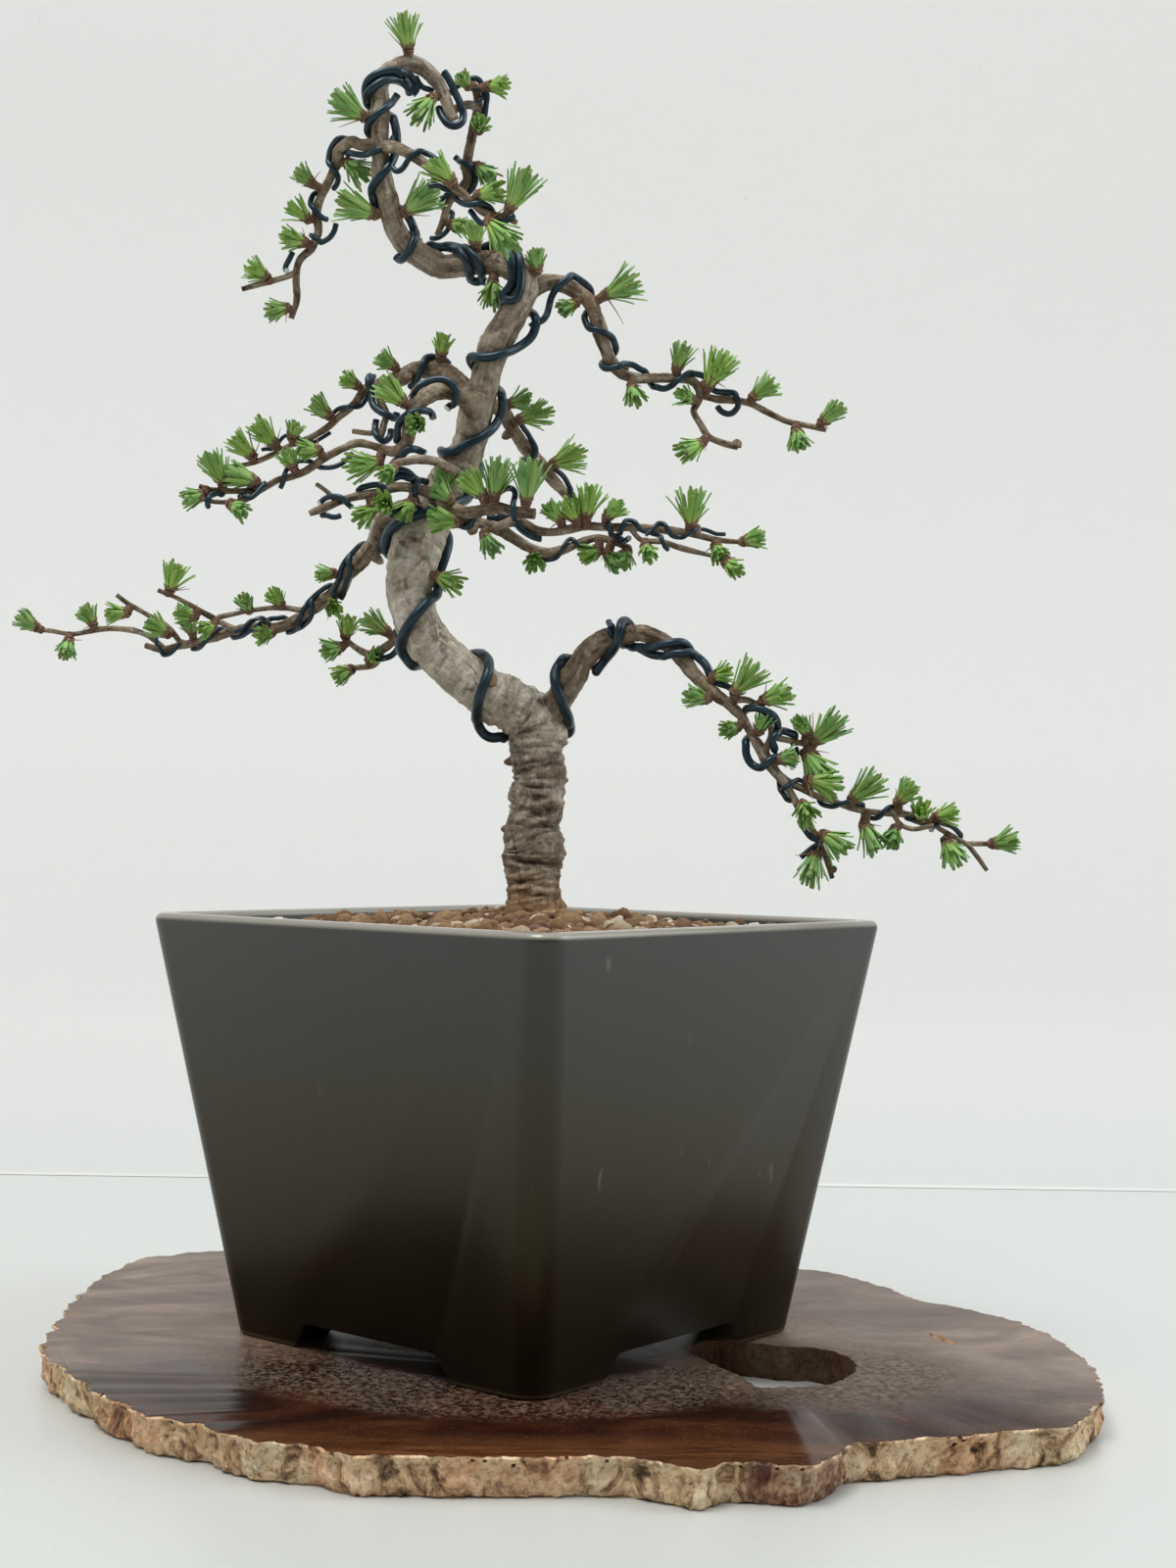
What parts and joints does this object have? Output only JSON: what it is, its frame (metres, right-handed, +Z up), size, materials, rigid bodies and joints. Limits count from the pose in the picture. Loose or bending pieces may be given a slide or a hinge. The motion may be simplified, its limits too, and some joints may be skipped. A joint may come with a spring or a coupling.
{
  "type": "larch bonsai",
  "caption": "Wired larch bonsai with tufts of young needles, in a square flared ceramic pot with soil, standing on a live-edge wooden slab",
  "frame": {"origin": "on the flat underside of the slab, under the pot's centre", "axes": "+Z up; the picture's viewer stands on the -Y side and looks along +Y, with +X to their right"},
  "size_m": [0.3785, 0.2995, 0.4599],
  "materials": {
    "slab": "gloss",
    "pot": "satin",
    "soil": "matte",
    "bark": "matte",
    "foliage": "matte",
    "wire": "satin"
  },
  "bodies": {
    "root": {"branch_back_right": "foliage", "branch_crooked": "foliage", "branch_descending": "foliage", "branch_front_left": "foliage", "branch_low_left": "foliage", "branch_low_right": "foliage", "branch_middle_left": "foliage", "branch_middle_right": "foliage", "branch_small_left": "foliage", "branch_top_left": "foliage", "branch_top_right": "foliage", "branch_upper_left": "foliage", "branch_upper_right": "foliage", "display_slab": "slab", "pot": "pot", "soil": "soil", "trunk": "bark", "wire_back_right": "wire", "wire_descending": "wire", "wire_droop": "wire", "wire_front_left": "wire", "wire_low_left_a": "wire", "wire_low_left_b": "wire", "wire_low_right_a": "wire", "wire_low_right_b": "wire", "wire_low_right_c": "wire", "wire_low_right_d": "wire", "wire_low_right_e": "wire", "wire_low_right_f": "wire", "wire_middle_left": "wire", "wire_middle_right_a": "wire", "wire_middle_right_b": "wire", "wire_top_left": "wire", "wire_top_right": "wire", "wire_trunk": "wire", "wire_upper_left": "wire", "wire_upper_right": "wire", "wire_upper_right_tip": "wire"}
  },
  "joints": []
}
